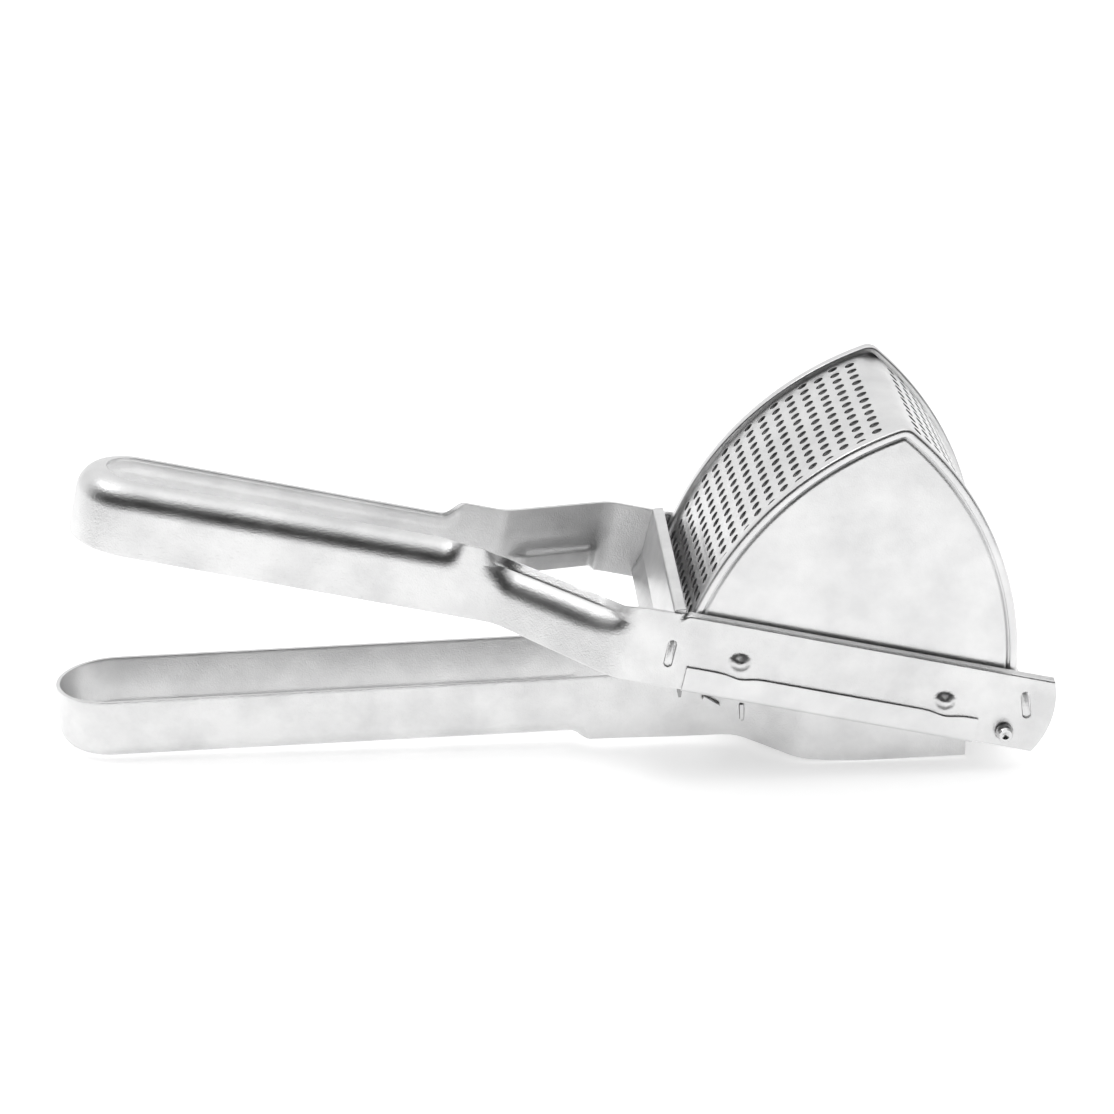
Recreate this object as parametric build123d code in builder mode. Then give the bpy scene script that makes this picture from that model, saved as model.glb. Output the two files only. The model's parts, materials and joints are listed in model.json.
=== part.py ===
"""Potato ricer of plated sheet steel, lying upside down on a table with its two levers closed.

The basket frame (a long looped strap that carries the perforated basket) lies over the
plunger lever (a second looped strap that carries the wedge-shaped presser).  One pin
hinges the two.  X runs along the tool with the hinge at +X, Y runs across it, Z is up,
and the origin is under the middle of the whole tool, on the table.
"""
import os
from math import atan2, cos, degrees, radians, sin, sqrt

from build123d import *

os.makedirs("parts", exist_ok=True)

# ---------------------------------------------------------------- driving dimensions (mm)
sheet = 1.5                  # thickness of both straps and of the cross plates
basket_sheet = 1.0           # thickness of the perforated wall, basket sides and presser

cut_past = 5.0               # cutting shapes run this far past the piece

closed_angle = 14.2          # degrees between the two levers when the tool is shut

# basket frame strap: lengths along it from the pin (negative towards the handle)
frame_tail = 17.4            # the strap's rounded end, past the pin
tail_radius = 34.0           # bow of that end
tail_bulge = 10.4            # height of the bow's furthest point above the pin line
frame_low = -6.5             # lower edge of the strap, below the pin line
frame_high = 24.3            # upper edge of the strap, above the pin line
frame_half = 56.0            # half of the width outside the straps at the basket
flare_end = -157.0           # where the strap reaches the basket's width
flare_start = -202.3         # where the strap leaves the handle's width
frame_reach = 373.0          # pin to the outside of the handle's rounded end
bend_radius = 14.0           # bends at both ends of the flare

# plunger lever strap
plunger_half = 43.5          # half of the width outside the straps beside the presser
plunger_reach = 374.5        # pin to the outside of the handle's rounded end
plunger_high = 17.6          # upper edge
plunger_low = -10.4          # lower edge beside the neck
belly_low = -15.5            # lower edge under the presser
belly_start = -58.0          # where the belly is at its full depth
belly_end = -12.6            # where the belly stops short of the hinge
belly_slope = 3.4            # drop of the lower edge by the end of the flare
plunger_flare_end = -79.0
plunger_flare_start = -103.0
lug_radius = 7.5             # rounded lug round the hinge hole
lug_slope = 30.0             # the belly's upper edge meets the lug at this many degrees from upright

# both handles
handle_half = 23.0           # half of the handle's outside width
roll_radius = 8.0            # outside radius of the rolled edge of each handle
frame_roll_top = 22.4        # top of the frame handle's rolled edge
frame_roll_end = -226.0      # where that roll stops, before the neck
plunger_roll_low = -8.0      # bottom of the plunger handle's rolled edge
plunger_roll_end = -166.0
plunger_step = 9.6           # the lower edge is this far below the pin line beside the roll
step_length = 8.0

# basket: a pointed arch of two arcs, the handle-side one centred on the pin
arch_radius = 131.0          # outside of the perforated wall, handle side
hinge_arc_radius = 126.6     # outside of the wall, hinge side; this arc starts above the pin
apex_radius = 12.0
side_inside = 50.5           # basket side plates, from the middle of the tool
seam_inside = 47.0
seam_outside = 52.3
seam_rise = 2.0              # how far the seam stands above the wall
seam_lap = 0.8               # how far it laps down the side sheet
seam_apex = 5.0              # the seam turns more tightly over the apex than the wall does
seam_foot = 16.3             # the seam starts this far above the pin line, level with the strap
wall_gap = 0.5               # between the edge of the wall and the side sheet
wall_foot = 9.0              # the hinge-side wall stops this far above the pin line
mouth_lip = 5.0              # turned-out lip of the wall at the handle side of the mouth
rim_start = -129.0           # turned-over rim of the basket sides, along the strap
rim_end = -11.7
rim_height = 9.4             # how far the rim reaches up the outside of the strap
rim_sheet = 0.8

# perforations
hole_diameter = 4.1
hole_pitch = 7.15            # across the wall
row_step = 3.06              # degrees round the arc between rows
first_row = 4.5              # degrees from the apex to the first row
handle_side_rows = 16
hinge_side_rows = 15

# cross plates of the frame, with tabs in slots of the straps
neck_plate = -137.9          # middle of the plate in the neck
neck_plate_low = -4.0
neck_crease = 5.0            # below this height the plate leans towards the handle
neck_plate_lean = 2.8        # by this much at its lower edge
neck_flange = 3.6
slot_height = 11.6
slot_width = 3.6
neck_slot = (-136.6, 7.5)    # middle of the slots in the neck
end_slot = (5.75, 12.5)      # middle of the slots at the hinge end
end_lean = 19.0              # the end plate leans back over the basket by this much
end_plate_height = 19.0
tab_play = 0.4               # the slots are this much larger than their tabs
tab_recess = 0.3             # the frame's tabs end this far inside the strap's outer face

# stiffening flange along the straps beside the basket
flange_start = -134.5
flange_width = 3.4
flange_rise = 1.4

# bumps pressed outwards in the strap, which lock the basket's rim
bump_places = [(-109.0, 8.8), (-26.1, 8.2)]
bump_radius = 4.8
bump_tip = 0.6
bump_height = 3.0

# hinge
pin_radius = 3.3
pin_proud = 4.6              # how far the peened ends stand out of the strap
peen_radius = 2.5
hinge_clearance = 0.08       # radial running clearance in the plunger's lugs
spacer_radius = 5.0
spacer_play = 0.3            # between each spacer and the plunger's lug
press_gap = 0.05             # radial gap of the spacers on the pin
hinge_cutaway = 9.0          # radius cleared round the pin in the basket sides
peen_chamfer = 0.25
peen_length = 2.2
peen_shoulder = 0.9
peen_dish = 1.0

# presser wedge
presser_clearance = 1.4      # to the inside of the basket wall
presser_half = 48.6
cheek_outside = 42.0
presser_foot = 18.6          # lower edge of the presser over the neck of the plunger
cheek_lap = 0.5              # lower edge of the cheeks where they lap the belly
cheek_lap_start = -73.0
cheek_foot = 13.0            # lower edge of the cheeks beside the hinge
blade_foot = 13.0            # lower edge of both leaves
tongue_half = 20.5           # the handle-side leaf reaches its foot only between the neck's straps
apex_inset = 3.0             # the presser's upper edge is rounded this much tighter than the basket's

# sloping plate across the plunger's neck, its lower edge turned up
cross_top = (-126.0, 14.0)
cross_low = (-100.2, -3.6)
cross_turn_up = 3.4
cross_tab = (-112.4, 4.8)    # middle of the slanted tabs
cross_tab_width = 7.6
cross_tab_proud = 2.4

# ---------------------------------------------------------------- how the shut tool lies
# the plunger lever rests on its belly and on the rolled end of its handle
plunger_tilt = degrees(atan2(plunger_roll_low - belly_low, plunger_reach - roll_radius + belly_start))
frame_tilt = closed_angle - plunger_tilt
pin_height = -belly_start * sin(radians(plunger_tilt)) - belly_low * cos(radians(plunger_tilt))
# the hinge stands so that the whole length is centred on the origin
handle_extent = plunger_reach * cos(radians(plunger_tilt)) + plunger_high * sin(radians(plunger_tilt))
bow_middle = frame_tail - tail_radius
tail_extent = bow_middle * cos(radians(frame_tilt)) + tail_bulge * sin(radians(frame_tilt)) + tail_radius
pin_x = (handle_extent - tail_extent) / 2
hinge = Vector(pin_x, 0, pin_height)


def side_plane(tilt):
    """Plane of the side view: x along the lever, y away from the table, normal to -Y."""
    lean = radians(tilt)
    return Plane(origin=hinge, x_dir=(cos(lean), 0, sin(lean)), z_dir=(0, -1, 0))


def plan_plane(tilt):
    """Plane of the plan view: x along the lever, y across it, normal away from the table."""
    lean = radians(tilt)
    return Plane(origin=hinge, x_dir=(cos(lean), 0, sin(lean)), z_dir=(-sin(lean), 0, cos(lean)))


frame_side = side_plane(-frame_tilt)
frame_plan = plan_plane(-frame_tilt)
plunger_side = side_plane(plunger_tilt)
plunger_plan = plan_plane(plunger_tilt)


def to_plunger(point):
    """A point of the closed frame's side view, in the plunger's side view."""
    turn = radians(-closed_angle)
    return (point[0] * cos(turn) - point[1] * sin(turn), point[0] * sin(turn) + point[1] * cos(turn))


def section_plane(plan, along, facing):
    """Plane square to a lever: x across the tool, y away from the table, normal +-along it."""
    normal = plan.x_dir * facing
    return Plane(origin=plan.from_local_coords((along, 0, 0)), x_dir=plan.y_dir * facing, z_dir=normal)


def strap_centreline(half, near_end, flare_1, flare_0, reach):
    """Half of a strap's middle line in plan, from its hinge end to the handle's end."""
    wide = half - sheet / 2
    narrow = handle_half - sheet / 2
    round_middle = -(reach - handle_half)
    legs = FilletPolyline(
        (near_end, -wide), (flare_1, -wide), (flare_0, -narrow), (round_middle, -narrow), radius=bend_radius
    )
    CenterArc((round_middle, 0), narrow, 180, 90)
    return legs


def quarter_round(centre, upward):
    """Section of a rolled edge: a quarter ring turned inwards, above or below its centre."""
    away = Align.MIN if upward else Align.MAX
    with Locations(centre):
        Circle(roll_radius)
        Circle(roll_radius - sheet, mode=Mode.SUBTRACT)
        Rectangle(roll_radius, roll_radius, align=(Align.MIN, away), mode=Mode.INTERSECT)


def rolled_edge(plan, reach, start, centre_height, upward):
    """Rolled edge of a handle: two straight runs joined by the half round of its end."""
    round_middle = -(reach - handle_half)
    centre = (handle_half - roll_radius, centre_height)
    with BuildSketch(section_plane(plan, start, -1)) as both_runs:
        quarter_round(centre, upward)
        mirror(about=Plane.YZ)
    extrude(both_runs.sketch, amount=start - round_middle)
    with BuildSketch(section_plane(plan, round_middle, -1)) as one_run:
        quarter_round(centre, upward)
    round_axis = Axis(plan.from_local_coords((round_middle, 0, 0)), -plan.z_dir)
    revolve(one_run.sketch, axis=round_axis, revolution_arc=180)


def pointed_arch(centres, growth, rounding, mode=Mode.ADD):
    """Filled arch, larger than the outside of the basket wall by growth, its upper point rounded."""
    with BuildSketch(Plane.XY, mode=Mode.PRIVATE) as arch:
        with Locations(centres[0]):
            Circle(arch_radius + growth)
        with Locations(centres[1]):
            Circle(hinge_arc_radius + growth, mode=Mode.INTERSECT)
        fillet(arch.vertices().sort_by(Axis.Y)[-1], rounding)
    add(arch.sketch_local, mode=mode)


def bow_at(height):
    """Where the bowed hinge end of the frame strap lies at a height above the pin line."""
    return bow_middle + sqrt(tail_radius**2 - (height - tail_bulge) ** 2)


# ---------------------------------------------------------------- basket frame strap
with BuildPart() as frame_strap:
    with BuildSketch(frame_plan.offset(frame_low)):
        with BuildLine():
            strap_centreline(frame_half, frame_tail, flare_end, flare_start, frame_reach)
            mirror(about=Plane.XZ)
        trace(line_width=sheet)
    extrude(amount=frame_high - frame_low)
    # side view of the strap: straight, with a bowed hinge end and a lower handle wall
    with BuildSketch(frame_side):
        with BuildLine():
            roll_wall = frame_roll_top - roll_radius
            high_corner = (bow_at(frame_high), frame_high)
            low_corner = (bow_at(frame_low), frame_low)
            Polyline(
                low_corner,
                (-frame_reach - cut_past, frame_low),
                (-frame_reach - cut_past, roll_wall),
                (frame_roll_end, roll_wall),
                (frame_roll_end, frame_high),
                high_corner,
            )
            ThreePointArc(high_corner, (frame_tail, tail_bulge), low_corner)
        make_face()
    extrude(amount=frame_half + cut_past, both=True, mode=Mode.INTERSECT)
    rolled_edge(frame_plan, frame_reach, frame_roll_end, frame_roll_top - roll_radius, True)
    # narrow flange turned in and slightly up along the upper edge beside the basket
    with BuildSketch(section_plane(frame_plan, flange_start, 1)) as flanges:
        with BuildLine():
            Polyline(
                (-frame_half, frame_high - sheet),
                (-frame_half + flange_width, frame_high - sheet + flange_rise),
                (-frame_half + flange_width, frame_high + flange_rise),
                (-frame_half, frame_high),
                close=True,
            )
        make_face()
        mirror(about=Plane.YZ)
    extrude(amount=bow_at(frame_high) - flange_start)
    # slots for the tabs of the two cross plates, and the hinge holes
    with BuildSketch(frame_side):
        with Locations(neck_slot):
            SlotOverall(slot_height, slot_width, rotation=90)
        with Locations(end_slot):
            SlotOverall(slot_height, slot_width, rotation=90 + end_lean)
        Circle(pin_radius)
    extrude(amount=frame_half + cut_past, both=True, mode=Mode.SUBTRACT)
    # conical bumps pressed outwards
    for y_side in (-1, 1):
        for place in bump_places:
            foot = frame_side.from_local_coords((place[0], place[1], -y_side * frame_half))
            with Locations(Plane(origin=foot, z_dir=(0, y_side, 0))):
                Cone(bump_radius, bump_tip, bump_height, align=(Align.CENTER, Align.CENTER, Align.MIN))
frame_strap.part.label = "frame_strap"
export_step(frame_strap.part, "parts/frame_strap.step")


# ---------------------------------------------------------------- plate across the neck
strap_inside = frame_half - sheet
with BuildPart() as neck_cross_plate:
    # upright plate, creased near its foot, with its upper edge turned over towards the basket
    with BuildSketch(frame_side):
        with BuildLine():
            Polyline(
                (neck_plate - neck_plate_lean, neck_plate_low),
                (neck_plate, neck_crease),
                (neck_plate, frame_high - sheet / 2),
                (neck_plate + neck_flange, frame_high - sheet / 2),
            )
        trace(line_width=sheet)
    extrude(amount=strap_inside, both=True)
    # tabs peened out to fill the slots
    for plane, facing in ((frame_side.offset(strap_inside), 1), (frame_side.offset(-strap_inside), -1)):
        with BuildSketch(plane):
            with Locations(neck_slot):
                SlotOverall(slot_height - tab_play, slot_width - tab_play, rotation=90)
        extrude(amount=facing * (sheet - tab_recess))
neck_cross_plate.part.label = "neck_cross_plate"
export_step(neck_cross_plate.part, "parts/neck_cross_plate.step")

# ---------------------------------------------------------------- plate across the hinge end
with BuildPart() as end_cross_plate:
    lean_axes = Plane(
        origin=frame_side.from_local_coords((end_slot[0], end_slot[1], 0)),
        x_dir=frame_side.x_dir.rotate(Axis.Y, -end_lean),
        z_dir=(0, -1, 0),
    )
    with BuildSketch(lean_axes):
        with Locations((-sheet / 2, 0)):
            Rectangle(sheet, end_plate_height)
    extrude(amount=strap_inside, both=True)
    for plane, facing in ((lean_axes.offset(strap_inside), 1), (lean_axes.offset(-strap_inside), -1)):
        with BuildSketch(plane):
            SlotOverall(slot_height - tab_play, slot_width - tab_play, rotation=90)
        extrude(amount=facing * (sheet - tab_recess))
end_cross_plate.part.label = "end_cross_plate"
export_step(end_cross_plate.part, "parts/end_cross_plate.step")

# ---------------------------------------------------------------- perforated basket wall
arch_centres = [(0, 0), (-hinge_arc_radius, 0)]
apex_along = -(arch_radius**2) / (2 * hinge_arc_radius)
apex_height = sqrt(arch_radius**2 - apex_along**2)
below = 3 * arch_radius
with BuildPart() as basket_wall:
    with BuildSketch(frame_side):
        pointed_arch(arch_centres, 0, apex_radius)
        pointed_arch(arch_centres, -basket_sheet, apex_radius - basket_sheet, Mode.SUBTRACT)
        with Locations((0, frame_low)):
            Rectangle(below, below, align=(Align.CENTER, Align.MAX), mode=Mode.SUBTRACT)
        with Locations((0, wall_foot)):
            Rectangle(arch_radius, arch_radius, align=(Align.CENTER, Align.MAX), mode=Mode.SUBTRACT)
        # lip turned out under the neck
        with Locations((-arch_radius + basket_sheet, frame_low)):
            Rectangle(mouth_lip, basket_sheet, align=(Align.MAX, Align.MIN))
    extrude(amount=side_inside - wall_gap, both=True)
    # staggered rows of holes, square to the wall, on both sides of the apex
    for centre, radius, facing, rows in (
        (arch_centres[0], arch_radius, -1, handle_side_rows),
        (arch_centres[1], hinge_arc_radius, 1, hinge_side_rows),
    ):
        apex_turn = degrees(atan2(apex_height, facing * (apex_along - centre[0])))
        for row in range(rows):
            turn = radians(apex_turn - first_row - row_step * row)
            outward = (facing * cos(turn), sin(turn))
            middle = (centre[0] + radius * outward[0], centre[1] + radius * outward[1], 0)
            normal = frame_side.x_dir * outward[0] + frame_side.y_dir * outward[1]
            row_plane = Plane(origin=frame_side.from_local_coords(middle), x_dir=(0, 1, 0), z_dir=normal)
            with BuildSketch(row_plane):
                with GridLocations(hole_pitch, 1, 12 + row % 2, 1):
                    Circle(hole_diameter / 2)
    extrude(amount=2 * basket_sheet, both=True, mode=Mode.SUBTRACT)
basket_wall.part.label = "basket_wall"
export_step(basket_wall.part, "parts/basket_wall.step")

# ---------------------------------------------------------------- basket sides
for name, facing in (("basket_side_near", 1), ("basket_side_far", -1)):
    with BuildPart() as basket_side:
        # flat side sheet, cut away round the hinge
        with BuildSketch(frame_side.offset(facing * side_inside)):
            pointed_arch(arch_centres, 0, apex_radius)
            with Locations((0, frame_low - rim_sheet)):
                Rectangle(below, below, align=(Align.CENTER, Align.MAX), mode=Mode.SUBTRACT)
        extrude(amount=facing * basket_sheet)
        # seam folded round the edge of the wall and standing above it
        with BuildSketch(frame_side.offset(facing * side_inside)):
            pointed_arch(arch_centres, seam_rise, seam_apex)
            pointed_arch(arch_centres, -seam_lap, apex_radius - seam_lap, Mode.SUBTRACT)
            with Locations((0, seam_foot)):
                Rectangle(below, below, align=(Align.CENTER, Align.MAX), mode=Mode.SUBTRACT)
        extrude(amount=facing * (seam_outside - side_inside))
        with BuildSketch(frame_side.offset(facing * seam_inside)):
            pointed_arch(arch_centres, seam_rise, seam_apex)
            pointed_arch(arch_centres, 0, apex_radius, Mode.SUBTRACT)
            with Locations((0, seam_foot)):
                Rectangle(below, below, align=(Align.CENTER, Align.MAX), mode=Mode.SUBTRACT)
        extrude(amount=facing * (side_inside - seam_inside))
        # rim turned out under the strap and folded up its outside
        with BuildSketch(frame_side.offset(facing * side_inside)):
            with Locations((rim_start, frame_low - rim_sheet)):
                Rectangle(rim_end - rim_start, rim_sheet, align=(Align.MIN, Align.MIN))
        extrude(amount=facing * (frame_half + rim_sheet - side_inside))
        with BuildSketch(frame_side.offset(facing * frame_half)):
            with Locations((rim_start, frame_low - rim_sheet)):
                Rectangle(rim_end - rim_start, rim_height + rim_sheet, align=(Align.MIN, Align.MIN))
        extrude(amount=facing * rim_sheet)
        with BuildSketch(frame_side):
            Circle(hinge_cutaway)
        extrude(amount=strap_inside, both=True, mode=Mode.SUBTRACT)
    basket_side.part.label = name
    export_step(basket_side.part, f"parts/{name}.step")

# ---------------------------------------------------------------- hinge pin and spacers
with BuildPart() as hinge_pin:
    with BuildSketch(frame_plan):
        half_length = frame_half + pin_proud
        with BuildLine():
            Polyline(
                (0, 0),
                (pin_radius, 0),
                (pin_radius, half_length - peen_length),
                (pin_radius - peen_chamfer, half_length - peen_shoulder),
                (peen_radius, half_length),
                (peen_radius - peen_shoulder, half_length),
                (0, half_length - peen_dish),
                close=True,
            )
        make_face()
        mirror(about=Plane.XZ)
    revolve(axis=Axis(hinge, (0, 1, 0)))
hinge_pin.part.label = "hinge_pin"
export_step(hinge_pin.part, "parts/hinge_pin.step")

for name, facing in (("hinge_spacer_near", 1), ("hinge_spacer_far", -1)):
    with BuildPart() as hinge_spacer:
        with BuildSketch(frame_side.offset(facing * strap_inside)):
            Circle(spacer_radius)
            Circle(pin_radius + press_gap, mode=Mode.SUBTRACT)
        extrude(amount=-facing * (strap_inside - plunger_half - spacer_play))
    hinge_spacer.part.label = name
    export_step(hinge_spacer.part, f"parts/{name}.step")

# ---------------------------------------------------------------- plunger lever strap
with BuildPart() as plunger_strap:
    with BuildSketch(plunger_plan.offset(belly_low)):
        with BuildLine():
            strap_centreline(
                plunger_half, lug_radius, plunger_flare_end, plunger_flare_start, plunger_reach
            )
            mirror(about=Plane.XZ)
        trace(line_width=sheet)
    extrude(amount=plunger_high - belly_low)
    # side view: handle wall, deeper belly under the presser, and a lug up to the pin
    with BuildSketch(plunger_side):
        with BuildLine():
            roll_wall = plunger_roll_low + roll_radius
            Polyline(
                (-plunger_reach - cut_past, plunger_high),
                (-plunger_reach - cut_past, roll_wall),
                (plunger_roll_end, roll_wall),
                (plunger_roll_end, -plunger_step),
                (plunger_roll_end + step_length, -plunger_step),
                (plunger_flare_start - cut_past, plunger_low),
            )
            Spline(
                (plunger_flare_start - cut_past, plunger_low),
                (plunger_flare_end, plunger_low - belly_slope),
                (belly_start, belly_low),
                tangents=[(1, 0), (cos(radians(plunger_tilt)), -sin(radians(plunger_tilt)))],
            )
            Polyline(
                (belly_start, belly_low),
                (belly_end, belly_low),
                (belly_end, 0),
                (0, 0),
                (lug_radius * sin(radians(lug_slope)), lug_radius * cos(radians(lug_slope))),
                (belly_end, plunger_high),
                (-plunger_reach - cut_past, plunger_high),
            )
        make_face()
        Circle(lug_radius)
    extrude(amount=plunger_half + cut_past, both=True, mode=Mode.INTERSECT)
    rolled_edge(plunger_plan, plunger_reach, plunger_roll_end, plunger_roll_low + roll_radius, False)
    # hinge holes, and slots for the sloping cross plate
    slope = degrees(atan2(cross_low[1] - cross_top[1], cross_low[0] - cross_top[0]))
    with BuildSketch(plunger_side):
        Circle(pin_radius + hinge_clearance)
        with Locations(cross_tab):
            Rectangle(cross_tab_width + tab_play, sheet + tab_play, rotation=slope)
        with Locations((cross_low[0], (cross_turn_up + cross_low[1]) / 2)):
            Rectangle(sheet + tab_play, cross_turn_up - cross_low[1] + tab_play)
    extrude(amount=plunger_half + cut_past, both=True, mode=Mode.SUBTRACT)
plunger_strap.part.label = "plunger_strap"
export_step(plunger_strap.part, "parts/plunger_strap.step")

# ---------------------------------------------------------------- plunger's sloping cross plate
with BuildPart() as plunger_cross_plate:
    with BuildSketch(plunger_side):
        with BuildLine():
            Polyline(cross_top, cross_low, (cross_low[0], cross_turn_up))
        trace(line_width=sheet)
    extrude(amount=handle_half - sheet, both=True)
    with BuildSketch(plunger_side):
        with Locations(cross_tab):
            Rectangle(cross_tab_width, sheet, rotation=slope)
    extrude(amount=handle_half + cross_tab_proud, both=True)
    with BuildSketch(plunger_side):
        with Locations((cross_low[0], (cross_turn_up + cross_low[1]) / 2)):
            Rectangle(sheet, cross_turn_up - cross_low[1] - tab_play)
    extrude(amount=handle_half + cross_tab_proud, both=True)
plunger_cross_plate.part.label = "plunger_cross_plate"
export_step(plunger_cross_plate.part, "parts/plunger_cross_plate.step")

# ---------------------------------------------------------------- presser: folded wedge and cheeks
presser_growth = -basket_sheet - presser_clearance
presser_apex = apex_radius - apex_inset
inner_growth = presser_growth - basket_sheet
inner_apex = presser_apex - basket_sheet
presser_centres = [(0, 0), to_plunger(arch_centres[1])]
with BuildPart() as presser_blade:
    with BuildSketch(plunger_side):
        pointed_arch(presser_centres, presser_growth, presser_apex)
        pointed_arch(presser_centres, inner_growth, inner_apex, Mode.SUBTRACT)
        with Locations((0, blade_foot)):
            Rectangle(below, below, align=(Align.CENTER, Align.MAX), mode=Mode.SUBTRACT)
    extrude(amount=presser_half, both=True)
    # outside the neck's straps the handle-side leaf stops above them
    for facing in (1, -1):
        with BuildSketch(plunger_side.offset(facing * tongue_half)):
            with Locations((-arch_radius, presser_foot)):
                Rectangle(arch_radius, arch_radius, align=(Align.CENTER, Align.MAX))
        extrude(amount=facing * presser_half, mode=Mode.SUBTRACT)
presser_blade.part.label = "presser_blade"
export_step(presser_blade.part, "parts/presser_blade.step")

for name, facing in (("presser_cheek_near", 1), ("presser_cheek_far", -1)):
    with BuildPart() as presser_cheek:
        with BuildSketch(plunger_side.offset(facing * cheek_outside)):
            pointed_arch(presser_centres, inner_growth, inner_apex)
            with BuildLine():
                Polyline(
                    (-below, presser_foot),
                    (cheek_lap_start, presser_foot),
                    (cheek_lap_start, cheek_lap),
                    (belly_end - sheet, cheek_lap),
                    (belly_end - sheet, cheek_foot),
                    (below, cheek_foot),
                    (below, -below),
                    (-below, -below),
                    close=True,
                )
            make_face(mode=Mode.SUBTRACT)
        extrude(amount=-facing * basket_sheet)
    presser_cheek.part.label = name
    export_step(presser_cheek.part, f"parts/{name}.step")
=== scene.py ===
"""Potato ricer of plated sheet steel, lying shut on a pale floor."""
import json
import math

import bmesh
import bpy
import numpy as np
from mathutils import Matrix, Vector

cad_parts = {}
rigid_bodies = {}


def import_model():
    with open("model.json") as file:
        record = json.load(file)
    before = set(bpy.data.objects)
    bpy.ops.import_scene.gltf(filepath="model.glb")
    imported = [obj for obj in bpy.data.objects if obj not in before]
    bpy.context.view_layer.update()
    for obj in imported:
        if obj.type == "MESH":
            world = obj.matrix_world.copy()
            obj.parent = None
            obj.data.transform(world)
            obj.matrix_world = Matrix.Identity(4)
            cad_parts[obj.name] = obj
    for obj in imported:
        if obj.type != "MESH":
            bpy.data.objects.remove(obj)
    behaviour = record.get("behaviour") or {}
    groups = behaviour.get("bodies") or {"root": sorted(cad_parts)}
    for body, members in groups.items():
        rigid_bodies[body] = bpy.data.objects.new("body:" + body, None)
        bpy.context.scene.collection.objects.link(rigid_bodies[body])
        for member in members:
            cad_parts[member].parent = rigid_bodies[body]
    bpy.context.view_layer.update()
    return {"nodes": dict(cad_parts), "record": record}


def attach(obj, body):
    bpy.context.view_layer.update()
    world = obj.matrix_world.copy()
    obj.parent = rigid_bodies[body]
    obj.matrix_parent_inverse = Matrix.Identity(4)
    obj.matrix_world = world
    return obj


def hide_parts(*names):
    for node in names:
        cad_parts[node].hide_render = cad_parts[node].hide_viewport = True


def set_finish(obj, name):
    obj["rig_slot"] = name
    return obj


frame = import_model()

MM = 0.001
SHEET = 1.5
HANDLE_HALF = 23.0
STRAP_BEND = 14
ROLL = 8.0
HINGE = Vector(frame["record"]["behaviour"]["joints"][0]["pos_m"])
FRAME_TILT = -12.807346
PLUNGER_TILT = 1.392654


# ------------------------------------------------------------------ small helpers
def ease(start, end, value):
    """0 before start, 1 after end, smooth between; start may be the larger."""
    t = np.clip((value - start) / (end - start), 0, 1)
    return t * t * (3 - 2 * t)


def lever_matrix(tilt):
    """Row frame from a lever's own axes: along it from the hinge, across it, away from the table."""
    lean = math.radians(tilt)
    along = Vector((math.cos(lean), 0, math.sin(lean)))
    away = Vector((-math.sin(lean), 0, math.cos(lean)))
    turn = Matrix((along, Vector((0, 1, 0)), away)).transposed().to_4x4()
    return Matrix.Translation(HINGE) @ turn @ Matrix.Scale(MM, 4)


FRAME_LEVER = lever_matrix(FRAME_TILT)
PLUNGER_LEVER = lever_matrix(PLUNGER_TILT)


def mesh_object(name, points, faces):
    """Object from points already in the row frame, in metres."""
    mesh = bpy.data.meshes.new(name)
    mesh.from_pydata([tuple(p) for p in points], [], faces)
    mesh.validate()
    bm = bmesh.new()
    bm.from_mesh(mesh)
    bmesh.ops.remove_doubles(bm, verts=bm.verts, dist=1e-6)
    bm.to_mesh(mesh)
    bm.free()
    mesh.polygons.foreach_set("use_smooth", [True] * len(mesh.polygons))
    obj = bpy.data.objects.new(name, mesh)
    bpy.context.scene.collection.objects.link(obj)
    return obj


def to_row(matrix, local):
    """Array of lever-local points in millimetres, as row-frame points in metres."""
    m = np.array(matrix)
    return local @ m[:3, :3].T + m[:3, 3]


def grid_faces(rows, columns, closed=False):
    """Quads of a grid stored row by row; closed joins the last row to the first."""
    faces = []
    for r in range(rows if closed else rows - 1):
        a, b = r * columns, ((r + 1) % rows) * columns
        for c in range(columns - 1):
            faces.append((a + c, a + c + 1, b + c + 1, b + c))
    return faces


# ------------------------------------------------------------------ path of a strap, in plan
def filleted(corners, radius, spacing=0.4):
    """Dense points along straight legs whose corners are rounded."""
    corners = [np.array(c, float) for c in corners]
    out = [corners[0]]

    def run_to(p):
        start = out[-1]
        count = max(1, int(np.linalg.norm(p - start) / spacing))
        out.extend(start + (p - start) * (i + 1) / count for i in range(count))

    for before, corner, after in zip(corners, corners[1:], corners[2:]):
        d0 = (corner - before) / np.linalg.norm(corner - before)
        d1 = (after - corner) / np.linalg.norm(after - corner)
        bend = math.acos(np.clip(d0 @ d1, -1, 1))
        trim = radius * math.tan(bend / 2)
        run_to(corner - d0 * trim)
        side = np.array((-d0[1], d0[0]))
        side *= np.sign(side @ d1)
        centre = out[-1] + side * radius
        count = max(2, int(radius * bend / spacing))
        for i in range(count):
            a = bend * (i + 1) / count
            out.append(centre - side * radius * math.cos(a) + d0 * radius * math.sin(a))
    run_to(corners[-1])
    return out


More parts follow.
